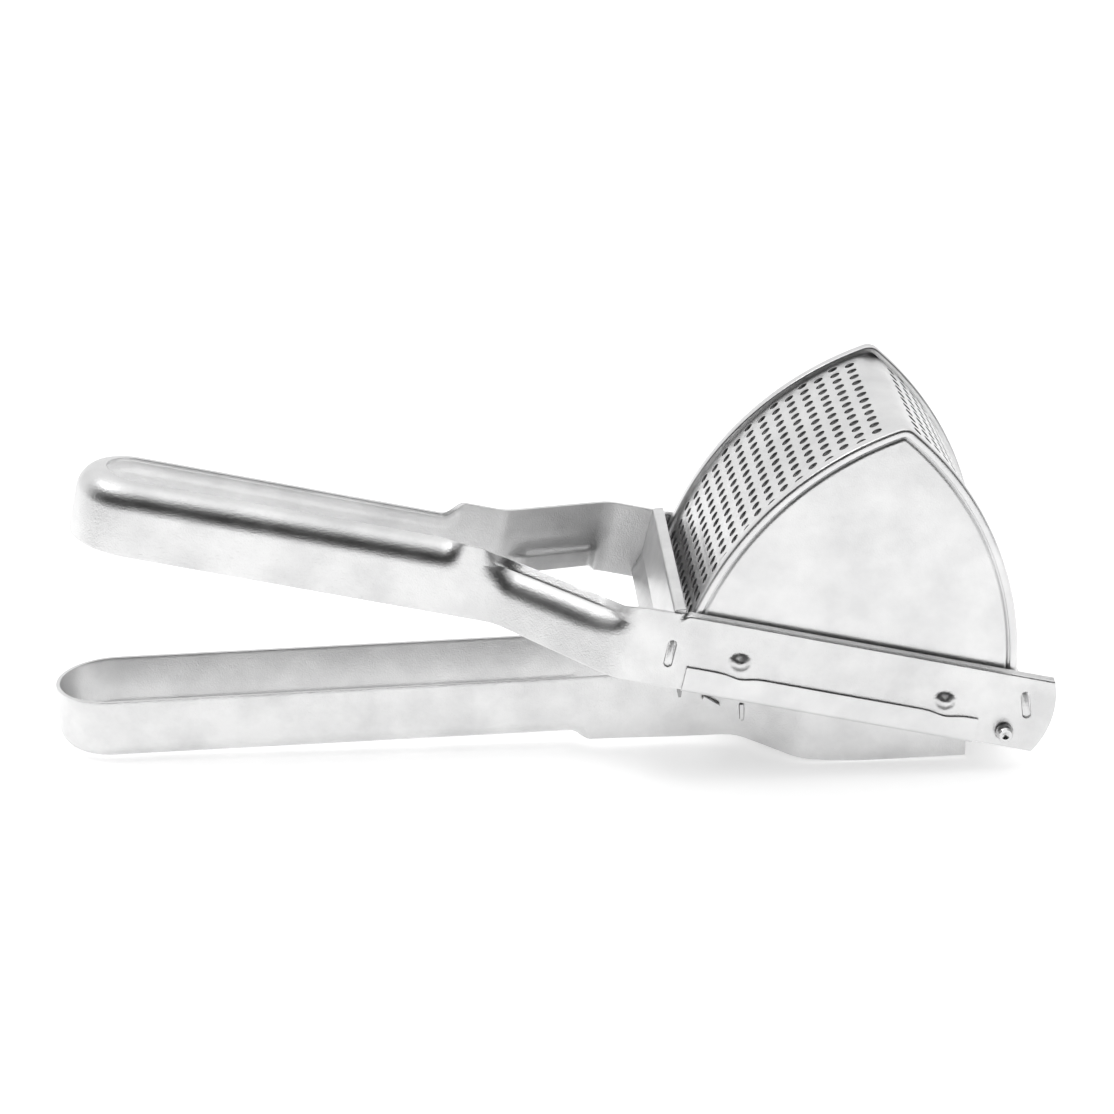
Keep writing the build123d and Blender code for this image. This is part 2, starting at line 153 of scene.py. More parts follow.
def strap_path(half, near_end, flare_end, flare_start, reach, steps):
    """Stations of a looped strap's outer face: along, across, outward normal. Near side first."""
    wide, narrow = half - SHEET / 2, HANDLE_HALF - SHEET / 2
    middle = HANDLE_HALF - reach
    corners = [(near_end, -wide), (flare_end, -wide), (flare_start, -narrow), (middle, -narrow)]
    line = filleted(corners, STRAP_BEND)
    turn = np.linspace(0, math.pi / 2, 60)[1:]
    line += [np.array((middle - narrow * math.sin(a), -narrow * math.cos(a))) for a in turn]
    line = np.array(line)
    travelled = np.concatenate([[0], np.cumsum(np.linalg.norm(np.diff(line, axis=0), axis=1))])
    stations = [0.0]
    while stations[-1] < travelled[-1]:
        along = np.interp(stations[-1], travelled, line[:, 0])
        stations.append(stations[-1] + steps(along))
    stations = np.array(stations[:-1] + [travelled[-1]])
    if stations[-1] - stations[-2] < 0.2:
        stations = np.delete(stations, -2)
    at = np.column_stack([np.interp(stations, travelled, line[:, k]) for k in (0, 1)])
    ahead = np.column_stack([np.interp(stations + 0.3, travelled, line[:, k]) for k in (0, 1)])
    behind = np.column_stack([np.interp(stations - 0.3, travelled, line[:, k]) for k in (0, 1)])
    heading = (ahead - behind) / np.linalg.norm(ahead - behind, axis=1)[:, None]
    normal = np.column_stack([-heading[:, 1], heading[:, 0]])
    normal[-1] = (-1, 0)
    far = slice(-2, None, -1)
    at = np.concatenate([at, at[far] * (1, -1)])
    normal = np.concatenate([normal, normal[far] * (1, -1)])
    return at, normal


def strap_surface(name, matrix, path, profile):
    """Outer face of a strap: profile(along, across) gives inset and height of its points."""
    at, normal = path
    points = []
    for (along, across), outward in zip(at, normal):
        shift, inset, height = profile(along, across)
        base = np.array((along, across)) + outward * (SHEET / 2)
        row = np.empty((len(inset), 3))
        row[:, 0] = base[0] - outward[0] * inset + shift
        row[:, 1] = base[1] - outward[1] * inset
        row[:, 2] = height
        points.append(row)
    columns = len(points[0])
    flat = to_row(matrix, np.concatenate(points))
    return mesh_object(name, flat, grid_faces(len(points), columns))


def bake(obj):
    """Puts the result of the modifiers in place of the mesh."""
    bpy.context.view_layer.update()
    final = bpy.data.meshes.new_from_object(obj.evaluated_get(bpy.context.evaluated_depsgraph_get()))
    obj.modifiers.clear()
    obj.data = final
    obj.data.name = obj.name


def thicken(obj, thickness, bevel, cutter=None, offset=-1):
    """Gives a face its sheet thickness, cuts the slots and softens the cut edges."""
    solid = obj.modifiers.new("sheet", "SOLIDIFY")
    solid.thickness = thickness * MM
    solid.offset = offset
    solid.use_even_offset = True
    if cutter is not None:
        cut = obj.modifiers.new("slots", "BOOLEAN")
        cut.operation = "DIFFERENCE"
        cut.solver = "EXACT"
        cut.object = cutter
    edge = obj.modifiers.new("edges", "BEVEL")
    edge.width = bevel * MM
    edge.segments = 2
    edge.limit_method = "ANGLE"
    edge.angle_limit = math.radians(50)
    edge.harden_normals = False
    bake(obj)
    return obj


def sharpen(obj, degrees=35):
    """Smooth shading that breaks at creases."""
    obj.data.polygons.foreach_set("use_smooth", [True] * len(obj.data.polygons))
    obj.data.set_sharp_from_angle(angle=math.radians(degrees))
    return obj


def stadium(height, width, count):
    """Outline of a slot: points along and up from its middle."""
    ring = []
    for i in range(count):
        a = 2 * math.pi * i / count
        up = (height - width) / 2 * (1 if math.sin(a) >= 0 else -1)
        ring.append((width / 2 * math.cos(a), up + width / 2 * math.sin(a)))
    return ring


def arc_points(across, up, radius, first, last, count):
    """Points on an arc of a section, from one angle to another in degrees."""
    angles = np.radians(np.linspace(first, last, count))
    return [(across + radius * math.cos(a), up + radius * math.sin(a)) for a in angles]


# ------------------------------------------------------------------ basket frame strap
LOW, HIGH = -6.5, 24.3
FRAME_HALF = 56.0
FLARE_END, FLARE_START = -157.0, -202.3
FRAME_REACH = 373.0
TAIL, TAIL_BOW, TAIL_RADIUS = 17.4, 10.4, 34.0
BUMPS = [(-109.0, 8.8), (-26.1, 8.2)]
BUMP_RADIUS, BUMP_HEIGHT, BUMP_SQUASH = 5.2, 2.7, 1.25
NECK_SLOT, END_SLOT = (-136.6, 7.5), (5.75, 12.5)
END_LEAN = math.radians(19)
SLOT_HEIGHT, SLOT_WIDTH, PIN_HOLE = 11.6, 3.6, 7.4
# where along the strap each shape comes in or fades out
ROLL_FADE = (-219.0, -229.0)
BEAD_LEFT, BEAD_RIGHT = (-215.0, -199.0), (-151.0, -170.0)
UNDER_LEFT, UNDER_RIGHT = (-199.0, -189.0), (-157.0, -164.0)
DIP_LEFT, DIP_RIGHT = (-226.0, -206.0), (-147.0, -162.0)
FLANGE_FADE = (-137.0, -132.0)
# rolled edge, bead, lowered neck edge, flange, and the far side's lower bead
FRAME_ROLL, ROLL_START = 10.2, 11.3
BEAD_START = (5.0, 6.9)
NECK_DIP = 1.0
FLANGE, FLANGE_BEND, FLANGE_RISE, FLANGE_DROP = 2.2, 0.7, 1.0, 0.1
FOLD_HEIGHT, FOLD_TURN, FOLD_RADIUS = 7.4, math.radians(68), 4.0
UNDER_CREASE, UNDER_EDGE, UNDER_LEAN = 3.6, -2.8, 0.08
WALL_POINTS, TOP_POINTS = 26, 30


def pitched(runs):
    """Rise and inset of a section made of runs: length, first and last lean in degrees, steps."""
    rise, back = [0.0], [0.0]
    for length, first, last, steps in runs:
        for i in range(steps):
            lean = math.radians(first + (last - first) * (i + 0.5) / steps)
            rise.append(rise[-1] + length / steps * math.cos(lean))
            back.append(back[-1] + length / steps * math.sin(lean))
    return np.array(rise[1:]), np.array(back[1:])


# a shoulder turned inwards to a tight ridge, a crease, and a leaning band above it
BEAD_RUNS = [(11.5, 0, 55, 14), (0.8, 55, 88, 5), (0.7, 22, 26, 3), (3.2, 37, 39, 8)]
BEAD_RISE, BEAD_BACK = pitched(BEAD_RUNS)


def frame_profile(along, across):
    """The frame strap's section: rolled in the handle, beaded in the neck, flanged by the basket."""
    rolled = ease(*ROLL_FADE, along)
    near = across < 0
    bead = ease(*BEAD_LEFT, along) * ease(*BEAD_RIGHT, along) * near
    under = ease(*UNDER_LEFT, along) * ease(*UNDER_RIGHT, along) * (not near)
    flanged = ease(*FLANGE_FADE, along)
    start = np.interp(along, [-202, -162], BEAD_START)
    split = ROLL_START + bead * (start - ROLL_START)
    high = HIGH - NECK_DIP * ease(*DIP_LEFT, along) * ease(*DIP_RIGHT, along) * near
    low = np.linspace(0, 1, WALL_POINTS)
    r = np.linspace(0, 1, TOP_POINTS + 1)[1:]
    wall_height = LOW + (split - LOW) * low
    # plain, with the flange where there is one
    up = np.clip(r / 0.6, 0, 1)
    arc = np.clip((r - 0.6) / 0.2, 0, 1) * math.pi / 2
    inward = np.clip((r - 0.8) / 0.2, 0, 1)
    flat_h = ROLL_START + (high - ROLL_START) * r
    bend_h = HIGH - FLANGE_DROP - FLANGE_BEND
    turned_h = ROLL_START + (bend_h - ROLL_START) * up + FLANGE_BEND * np.sin(arc) + FLANGE_RISE * inward
    turned_i = FLANGE_BEND * (1 - np.cos(arc)) + (FLANGE - FLANGE_BEND) * inward
    top_h = flat_h + flanged * (turned_h - flat_h)
    top_i = flanged * turned_i
    # rolled edge
    a = r * math.pi / 2
    top_h = top_h + rolled * (ROLL_START + FRAME_ROLL * np.sin(a) - top_h)
    top_i = top_i + rolled * (FRAME_ROLL * (1 - np.cos(a)) - top_i)
    # bead on the near side's upper edge
    top_h = top_h + bead * (start + BEAD_RISE - top_h)
    top_i = top_i + bead * (BEAD_BACK - top_i)
    # bead on the far side's lower edge
    lift = np.clip((UNDER_CREASE + FOLD_HEIGHT - wall_height) / FOLD_HEIGHT, 0, 1) * math.sin(FOLD_TURN)
    fold = FOLD_RADIUS * (1 - np.sqrt(1 - lift**2))
    below = np.clip(UNDER_CREASE - wall_height, 0, None)
    raised = 1 - (UNDER_CREASE - UNDER_EDGE) / (UNDER_CREASE - LOW)
    wall_height = wall_height + under * below * raised
    wall_inset = under * (fold + UNDER_LEAN * below)
    height = np.concatenate([wall_height, top_h])
    inset = np.concatenate([wall_inset, top_i])
    # bumps staked outwards from inside
    for place, level in BUMPS:
        away = np.hypot(along - place, BUMP_SQUASH * (height - level)) / BUMP_RADIUS
        inset = inset - BUMP_HEIGHT * np.clip(1 - away**2, 0, 1) ** 2
    # bowed hinge end
    bow = TAIL - TAIL_RADIUS + np.sqrt(TAIL_RADIUS**2 - (height - TAIL_BOW) ** 2)
    shift = (bow - TAIL) * ease(2.0, TAIL, np.full_like(height, along))
    return shift, inset, height


def frame_steps(along):
    """Finer stations where the strap has small features."""
    near_bump = min(abs(along - place) for place, _ in BUMPS) < 6
    if near_bump:
        return 0.55
    if -232 < along < -198 or -171 < along < -150:
        return 0.6
    if along > -198:
        return 1.3
    return 2.4 if along > -345 else 1.3


CUTTER_POINTS = 24


def slot_cutter(name, slots, matrix, across):
    """Rounded slot-shaped prisms that run through both sides of a strap."""
    bm = bmesh.new()
    for place, height, width, lean in slots:
        ring = stadium(height, width, CUTTER_POINTS)
        c, s = math.cos(lean), math.sin(lean)
        sides = []
        for y in (-across, across):
            sides.append([
                bm.verts.new(matrix @ Vector((place[0] + u * c - v * s, y, place[1] + u * s + v * c)))
                for u, v in ring
            ])
        for i in range(CUTTER_POINTS):
            j = (i + 1) % CUTTER_POINTS
            bm.faces.new((sides[0][i], sides[0][j], sides[1][j], sides[1][i]))
        bm.faces.new(sides[0][::-1])
        bm.faces.new(sides[1])
    bmesh.ops.recalc_face_normals(bm, faces=bm.faces)
    mesh = bpy.data.meshes.new(name)
    bm.to_mesh(mesh)
    bm.free()
    obj = bpy.data.objects.new(name, mesh)
    bpy.context.scene.collection.objects.link(obj)
    return obj


path = strap_path(FRAME_HALF, TAIL, FLARE_END, FLARE_START, FRAME_REACH, frame_steps)
frame_strap = strap_surface("frame_strap_sheet", FRAME_LEVER, path, frame_profile)
frame_slots = [
    (NECK_SLOT, SLOT_HEIGHT, SLOT_WIDTH, 0),
    (END_SLOT, SLOT_HEIGHT, SLOT_WIDTH, END_LEAN),
    ((0, 0), PIN_HOLE, PIN_HOLE, 0),
]
cutter = slot_cutter("slots", frame_slots, FRAME_LEVER, 70)
thicken(frame_strap, SHEET, 0.38, cutter)
bpy.data.objects.remove(cutter)
sharpen(frame_strap)
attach(frame_strap, "basket_frame")
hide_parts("frame_strap")
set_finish(frame_strap, "plated_strap")


# ------------------------------------------------------------------ plunger strap
BELLY, PLUNGER_LOW, NECK_DROP = -15.5, -9.4, 1.0
PLUNGER_HIGH = 17.6
PLUNGER_HALF, PLUNGER_REACH = 43.5, 374.5
LUG = 7.5
# the deep part ends at DEEP_END; from there the upper edge falls to meet the lug at LUG_TOP
DEEP_END, LUG_TOP = -12.6, (3.75, 6.5)
SPREAD = 0.16


def plunger_low(along):
    """Lower edge of the plunger strap beyond its rolled handle."""
    if along > DEEP_END:
        return -math.sqrt(max(LUG**2 - along**2, 0)) if abs(along) < LUG else 0.0
    edge = PLUNGER_LOW - NECK_DROP * ease(-166.0, -112.0, along)
    return edge + (BELLY - PLUNGER_LOW + NECK_DROP) * ease(-112.0, -52.0, along)


def plunger_top(along):
    """Upper edge: straight, then down to the lug's round."""
    if along < DEEP_END:
        return PLUNGER_HIGH
    if along > LUG_TOP[0]:
        return math.sqrt(max(LUG**2 - along**2, 0))
    return PLUNGER_HIGH + (LUG_TOP[1] - PLUNGER_HIGH) * (along - DEEP_END) / (LUG_TOP[0] - DEEP_END)


def plunger_profile(along, across):
    """The plunger strap's section: plain, with its lower edge rolled in under the handle."""
    rolled = ease(-161.0, -170.0, along)
    top, low = plunger_top(along), plunger_low(along)
    r = np.linspace(0, 1, 24)
    q = np.linspace(0, 1, 14)[1:]
    split = (low + (top - low) * 0.45) * (1 - rolled)
    wall = top + (split - top) * q
    lower_h = split + (low - split) * r
    a = r * math.pi / 2
    lower_h = lower_h + rolled * (-ROLL * np.sin(a) - lower_h)
    lower_i = rolled * ROLL * (1 - np.cos(a))
    height = np.concatenate([lower_h[::-1], wall[::-1], [top]])
    inset = np.concatenate([lower_i[::-1], np.zeros(len(wall) + 1)])
    # beside the presser the strap spreads towards its lower edge
    spread = ease(-106.0, -94.0, along) * ease(-70.0, -88.0, along)
    inset = inset + SPREAD * spread * (height - low)
    return 0.0, inset, height


def plunger_steps(along):
    """Finer stations at the lug and where the roll ends."""
    if along > -14 or -172 < along < -158:
        return 0.5
    return 1.5 if along > -125 or along < -345 else 2.5


path = strap_path(PLUNGER_HALF, LUG - 0.02, -79.0, -103.0, PLUNGER_REACH, plunger_steps)
plunger_strap = strap_surface("plunger_strap_sheet", PLUNGER_LEVER, path, plunger_profile)
plunger_slots = [
    ((0, 0), 6.8, 6.8, 0),
    ((-100.2, -0.1), 7.4, 1.9, 0),
    ((-112.4, 4.8), 8.0, 1.9, math.radians(56)),
]
cutter = slot_cutter("slots", plunger_slots, PLUNGER_LEVER, 60)
thicken(plunger_strap, SHEET, 0.42, cutter)
bpy.data.objects.remove(cutter)
sharpen(plunger_strap)
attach(plunger_strap, "plunger_lever")
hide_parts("plunger_strap")
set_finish(plunger_strap, "plated_strap")


# ------------------------------------------------------------------ basket sides
ARCH, HINGE_ARC = 131.0, 126.6
APEX = 4.0
ARCH_FOOT = 7.3
ARC_POINTS = 120
SIDE_BACK = 50.5


def apex_centre(rounding):
    """Centre of the circle of this radius that rounds the arch's upper point from inside."""
    one, two = ARCH - rounding, HINGE_ARC - rounding
    u = -(HINGE_ARC**2 + one**2 - two**2) / (2 * HINGE_ARC)
    return np.array((u, math.sqrt(one**2 - u**2)))


def arch_line():
    """Points and outward directions of the pointed arch, handle side to hinge side."""
    # the handle-side arc is about the pin, the hinge-side arc about a point short of the other foot
    away = np.array((-HINGE_ARC, 0.0))
    apex = apex_centre(APEX)
    start, finish = math.atan2(apex[1], apex[0]), math.atan2(apex[1], apex[0] + HINGE_ARC)
    left, right = math.pi + math.asin(ARCH_FOOT / ARCH), -math.asin(ARCH_FOOT / HINGE_ARC)
    first = [(a, np.zeros(2), ARCH) for a in np.linspace(left, start, ARC_POINTS)]
    cap = [(a, apex, APEX) for a in np.linspace(start, finish, 24)[1:-1]]
    last = [(a, away, HINGE_ARC) for a in np.linspace(finish, right, ARC_POINTS)]
    points, outward = [], []
    for a, centre, size in first + cap + last:
        d = np.array((math.cos(a), math.sin(a)))
        points.append(centre + d * size)
        outward.append(d)
    return np.array(points), np.array(outward)


def seam_section():
    """Section of the folded seam: distance across the tool, and height above the wall."""
    inner, outer, rise, lap, plate = 47.0, 52.3, 2.0, -1.3, 51.4
    bead = arc_points(inner + 1.0, rise - 1.0, 1.0, 180, 90, 5)
    bead += arc_points(outer - 1.5, rise - 1.5, 1.5, 90, 0, 7)
    bead += arc_points(outer - 0.6, lap + 0.6, 0.6, 0, -90, 5)
    # groove between the seam and the plate: how far behind the plate, how far below the lap
    groove = [(0.7, -0.1), (0.8, 0.3), (0.6, 0.8), (0.1, 1.4), (0.0, 2.2)]
    return [(inner, -0.3)] + bead + [(plate - back, lap - drop) for back, drop in groove]


def basket_side(name, near):
    """One basket side: a flat plate with its seam round the arch."""
    sign = -1 if near else 1
    section = seam_section()
    line, outward = arch_line()
    local = []
    for p, d in zip(line, outward):
        for y, lift in section:
            local.append((p[0] + d[0] * lift, sign * y, p[1] + d[1] * lift))
    columns = len(section)
    faces = grid_faces(len(line), columns)
    faces.append(tuple(i * columns + columns - 1 for i in range(len(line))))
    # back of the plate, and the underside of the seam
    start = len(local)
    for p, d in zip(line, outward):
        local.append((p[0] - d[0] * 0.3, sign * SIDE_BACK, p[1] - d[1] * 0.3))
    end = len(local) - 1
    faces.append(tuple(range(end, start - 1, -1)))
    for i in range(len(line) - 1):
        faces.append((i * columns, start + i, start + i + 1, (i + 1) * columns))
    # both feet of the seam, then the plate's lower edge
    last = (len(line) - 1) * columns
    faces.append(tuple(range(0, columns)) + (start,))
    faces.append(tuple(range(last + columns - 1, last - 1, -1)) + (end,))
    faces.append((columns - 1, last + columns - 1, end, start))
    side = mesh_object(name, to_row(FRAME_LEVER, np.array(local, float)), faces)
    bm = bmesh.new()
    bm.from_mesh(side.data)
    bmesh.ops.recalc_face_normals(bm, faces=bm.faces)
    bm.to_mesh(side.data)
    bm.free()
    return sharpen(side, 40)


def rim(name, near):
    """Rim of a basket side: under the strap and up its outside, its top edge waved by the bumps."""
    sign = -1 if near else 1
    start, end, thick, corner = -129.0, -11.2, 0.45, 1.6
    outer, low, top = FRAME_HALF + thick, LOW - thick, 3.4
    alongs = np.linspace(start, end, 150)
    local = []
    for u in alongs:
        dip = sum(math.exp(-((u - place - 1.5) / 5.0) ** 2) for place, _ in BUMPS)
        crest = top - 1.3 * dip
        # the upper edge stands off the strap a little in the middle of its length
        gap = 0.3 * math.sin(math.pi * (u - start) / (end - start)) ** 4
        line = [(SIDE_BACK + 0.1, low), (53.0, low)]
        line += arc_points(outer - corner, low + corner, corner, -90, 0, 7)
        lowest = low + corner
        for t in np.linspace(0, 1, 12)[1:]:
            line.append((outer + gap * t * t, lowest + (crest - lowest) * t))
        local.extend((u, sign * y, v) for y, v in line)
    columns = len(local) // len(alongs)
    faces = grid_faces(len(alongs), columns)
    if not near:
        faces = [f[::-1] for f in faces]
    obj = mesh_object(name, to_row(FRAME_LEVER, np.array(local, float)), faces)
    return sharpen(thicken(obj, thick, 0.14), 40)


for near in (True, False):
    end = "near" if near else "far"
    side = basket_side(f"basket_side_{end}_sheet", near)
    fold = rim(f"basket_rim_{end}", near)
    for obj in (side, fold):
        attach(obj, "basket_frame")
        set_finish(obj, "plated_basket")
    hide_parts(f"basket_side_{end}")


# ------------------------------------------------------------------ perforated wall
PITCH, HOLE = 7.15, 2.05
ROW_STEP, FIRST_ROW = math.radians(3.06), math.radians(4.5)
HANDLE_ROWS, HINGE_ROWS = 16, 15
WALL_HALF, WALL_ROUND, WALL_SHEET = 50.3, 12.0, 1.0
HINGE_FOOT = 9.0
HOLE_POINTS = 16
# rings round a hole: radius and height of its slightly raised lip
HOLE_RINGS = ((HOLE, 0.0), (HOLE + 0.2, 0.07), (HOLE + 0.5, 0.0))
# a hole's cell, as half widths across the tool and half row steps round the arc
CELL_EDGE = [
    (1, 0), (1, 0.5), (1, 1), (0.5, 1), (0, 1), (-0.5, 1), (-1, 1), (-1, 0.5),
    (-1, 0), (-1, -0.5), (-1, -1), (-0.5, -1), (0, -1), (0.5, -1), (1, -1), (1, -0.5),
]


def wall_arc(centre, radius, facing, top, rows, foot):
    """One side of the wall: rows of punched holes between plain strips at the apex and the foot."""
    points, faces = [], []

    def place(turn, y, lift=0.0):
        size = radius + lift
        points.append((centre + facing * size * math.cos(turn), y, size * math.sin(turn)))
        return len(points) - 1

    def strip(first, last, ys):
        a = [place(first, y) for y in ys]
        b = [place(last, y) for y in ys]
        for i in range(len(ys) - 1):
            faces.append((a[i], a[i + 1], b[i + 1], b[i]))

    quarter = PITCH / 4
    every = [-WALL_HALF] + [quarter * i for i in range(-26, 27)] + [WALL_HALF]
    half_row = ROW_STEP / 2
    upper = top - FIRST_ROW + half_row
    plain = np.linspace(top, upper, 4)
    for a, b in zip(plain, plain[1:]):
        strip(a, b, every)
    for row in range(rows):
        turn = top - FIRST_ROW - ROW_STEP * row
        count = 12 + row % 2
        for k in range(count):
            middle = (k - (count - 1) / 2) * PITCH
            rings = []
            for size, lift in HOLE_RINGS:
                ring = []
                for i in range(HOLE_POINTS):
                    a = 2 * math.pi * i / HOLE_POINTS
                    y = middle + size * math.cos(a)
                    ring.append(place(turn + size * math.sin(a) / radius, y, lift))
                rings.append(ring)
            rings.append([place(turn + e * half_row, middle + h * PITCH / 2) for h, e in CELL_EDGE])
            for inner, outer in zip(rings, rings[1:]):
                for i in range(HOLE_POINTS):
                    j = (i + 1) % HOLE_POINTS
                    faces.append((inner[i], outer[i], outer[j], inner[j]))
        # plain margins beside the row
        ys = [quarter * i for i in range(2 * count, 27)] + [WALL_HALF]
        for sign in (-1, 1):
            for step in (-1, -0.5, 0, 0.5):
                strip(turn + step * half_row, turn + (step + 0.5) * half_row, [sign * y for y in ys])
    lower = upper - ROW_STEP * rows
    turns = np.linspace(lower, math.asin(foot / radius), max(3, int((lower + 0.05) / 0.04)))
    for a, b in zip(turns, turns[1:]):
        strip(a, b, every)
    return points, faces


def round_apex(points):
    """Pulls the points near the sharp apex onto its rounding."""
    centre = apex_centre(WALL_ROUND)
    start, finish = math.atan2(centre[1], centre[0]), math.atan2(centre[1], centre[0] + HINGE_ARC)
    out = []
    for u, y, v in points:
        away = np.array((u, v)) - centre
        if finish < math.atan2(away[1], away[0]) < start:
            u, v = centre + away / np.linalg.norm(away) * WALL_ROUND
        out.append((u, y, v))
    return out


sharp_apex = apex_centre(0.0)
wall_points, wall_faces = [], []
wall_sides = [(0.0, ARCH, -1, HANDLE_ROWS, LOW), (-HINGE_ARC, HINGE_ARC, 1, HINGE_ROWS, HINGE_FOOT)]
for centre, radius, facing, rows, foot in wall_sides:
    top = math.atan2(sharp_apex[1], facing * (sharp_apex[0] - centre))
    points, faces = wall_arc(centre, radius, facing, top, rows, foot)
    wall_faces += [tuple(i + len(wall_points) for i in f) for f in faces]
    wall_points += points
wall_row = to_row(FRAME_LEVER, np.array(round_apex(wall_points)))
wall = mesh_object("basket_wall_sheet", wall_row, wall_faces)
bm = bmesh.new()
bm.from_mesh(wall.data)
bmesh.ops.remove_doubles(bm, verts=bm.verts, dist=2e-5)
bmesh.ops.recalc_face_normals(bm, faces=bm.faces)
inside = FRAME_LEVER @ Vector((-65.0, 0.0, 30.0))
bm.faces.ensure_lookup_table()
if (bm.faces[0].calc_center_median() - inside).dot(bm.faces[0].normal) < 0:
    bmesh.ops.reverse_faces(bm, faces=bm.faces)
bm.to_mesh(wall.data)
bm.free()
solid = wall.modifiers.new("sheet", "SOLIDIFY")
solid.thickness = WALL_SHEET * MM
solid.offset = -1
bake(wall)
sharpen(wall, 50)
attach(wall, "basket_frame")
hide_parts("basket_wall")
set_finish(wall, "plated_basket")


# ------------------------------------------------------------------ cross plates of the frame
TAB_HEIGHT, TAB_WIDTH = 11.2, 3.2
# rings of a tab: size of its outline and distance across the tool, the first one hidden inside
TAB_RINGS = ((1.0, 54.0), (1.0, 55.3), (0.92, 55.65), (0.6, 55.75), (0.25, 55.8))
TAB_DENT, DENT_EDGE = 0.9, (1.6, 2.6)
PLATE_HALF = 54.4


def slot_tab(place, lean, side):
    """Tab that fills a slot: a low dome whose upper third is hammered back."""
    c, s = math.cos(lean), math.sin(lean)
    count = 28
    outline = stadium(TAB_HEIGHT, TAB_WIDTH, count)
    local, faces = [], []
    for size, y in TAB_RINGS:
        for a, b in outline:
            back = TAB_DENT * ease(*DENT_EDGE, b * size) if y > TAB_RINGS[0][1] else 0.0
            a, b = a * size, b * size
            local.append((place[0] + a * c - b * s, side * (y - back), place[1] + a * s + b * c))
    for ring in range(len(TAB_RINGS) - 1):
        first, second = ring * count, (ring + 1) * count
        for i in range(count):
            j = (i + 1) % count
            faces.append((first + i, first + j, second + j, second + i))
    faces.append(tuple(range(len(local) - count, len(local))))
    faces.append(tuple(range(count))[::-1])
    return local, faces


def cross_plate(name, corners, place, lean):
    """Sheet that follows a side-view line across the frame, with a tab in the slot at each end."""
    profile = filleted(corners, 1.0, 0.3)
    across = np.linspace(-PLATE_HALF, PLATE_HALF, 24)
    local = [(u, y, v) for u, v in profile for y in across]
    plate = mesh_object(name, to_row(FRAME_LEVER, np.array(local)), grid_faces(len(profile), len(across)))
    thicken(plate, SHEET, 0.3, offset=0)
    bm = bmesh.new()
    bm.from_mesh(plate.data)
    for side in (-1, 1):
        points, faces = slot_tab(place, lean, side)
        verts = [bm.verts.new(p) for p in to_row(FRAME_LEVER, np.array(points, float))]
        made = [bm.faces.new([verts[i] for i in f]) for f in faces]
        bmesh.ops.recalc_face_normals(bm, faces=made)
    bm.to_mesh(plate.data)
    bm.free()
    return sharpen(plate, 40)


neck_line = [(-140.7, -4.0), (-137.9, 5.0), (-137.9, 24.6), (-134.2, 25.6)]
neck = cross_plate("neck_cross_plate_sheet", neck_line, NECK_SLOT, 0)
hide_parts("neck_cross_plate")
half_height, behind = 9.5, 0.75
c, s = math.cos(END_LEAN), math.sin(END_LEAN)
foot_u, foot_v = END_SLOT[0] - behind * c, END_SLOT[1] - behind * s
end_line = [(foot_u - t * s, foot_v + t * c) for t in (-half_height, half_height)]
tail_plate = cross_plate("end_cross_plate_sheet", end_line, END_SLOT, END_LEAN)
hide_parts("end_cross_plate")
for obj in (neck, tail_plate):
    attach(obj, "basket_frame")
    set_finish(obj, "plated_strap")


# ------------------------------------------------------------------ materials
CLOUD_SCALE, DRIFT_SCALE = 38, 110


def plated(name, tone, rough, grain, peel, mottle):
    """Bright plated steel: cloudy tone, fine orange peel, and a faint drift in polish."""
    mat = bpy.data.materials.new(name)
    mat.use_nodes = True
    tree = mat.node_tree
    nodes, links = tree.nodes, tree.links
    shader = nodes["Principled BSDF"]
    shader.inputs["Metallic"].default_value = 1.0
    where = nodes.new("ShaderNodeTexCoord")

    def noise(scale, detail, roughness=0.5):
        n = nodes.new("ShaderNodeTexNoise")
        n.inputs["Scale"].default_value = scale
        n.inputs["Detail"].default_value = detail
        n.inputs["Roughness"].default_value = roughness
        links.new(where.outputs["Object"], n.inputs["Vector"])
        return n

    clouds = noise(CLOUD_SCALE, 4, 0.6)
    ramp = nodes.new("ShaderNodeValToRGB")
    ramp.color_ramp.elements[0].position = 0.35
    ramp.color_ramp.elements[1].position = 0.65
    low, high = tone - mottle, tone + mottle / 2
    ramp.color_ramp.elements[0].color = (low, low, low * 1.004, 1)
    ramp.color_ramp.elements[1].color = (high, high, high, 1)
    links.new(clouds.outputs["Fac"], ramp.inputs["Fac"])
    links.new(ramp.outputs["Color"], shader.inputs["Base Color"])

    drift = noise(DRIFT_SCALE, 3)
    span = nodes.new("ShaderNodeMapRange")
    span.inputs["From Min"].default_value = 0.3
    span.inputs["From Max"].default_value = 0.7
    span.inputs["To Min"].default_value = rough * 0.92
    span.inputs["To Max"].default_value = rough * 1.1
    links.new(drift.outputs["Fac"], span.inputs["Value"])
    links.new(span.outputs["Result"], shader.inputs["Roughness"])

    skin = noise(grain, 2, 0.6)
    bump = nodes.new("ShaderNodeBump")
    bump.inputs["Strength"].default_value = 1.0
    bump.inputs["Distance"].default_value = peel * MM
    links.new(skin.outputs["Fac"], bump.inputs["Height"])
    links.new(bump.outputs["Normal"], shader.inputs["Normal"])
    return mat


strap_steel = plated("strap_steel", 0.76, 0.31, 1500, 0.15, 0.09)
basket_steel = plated("basket_steel", 0.76, 0.3, 1700, 0.06, 0.07)
# The presser's tone is lowered to 0.35 as painted shade, so the holes in the wall read dark where light
# would reach the presser through them.
presser_painted_shade = plated("presser_painted_shade", 0.35, 0.4, 1200, 0.05, 0.05)
pin_steel = plated("pin_steel", 0.7, 0.25, 2500, 0.02, 0.05)
BY_SLOT = {
    "plated_strap": strap_steel,
    "plated_basket": basket_steel,
    "plated_presser": presser_painted_shade,
    "pin_steel": pin_steel,
}


def paint(obj, material):
    """One material over the whole piece."""
    obj.data.materials.clear()
    obj.data.materials.append(material)


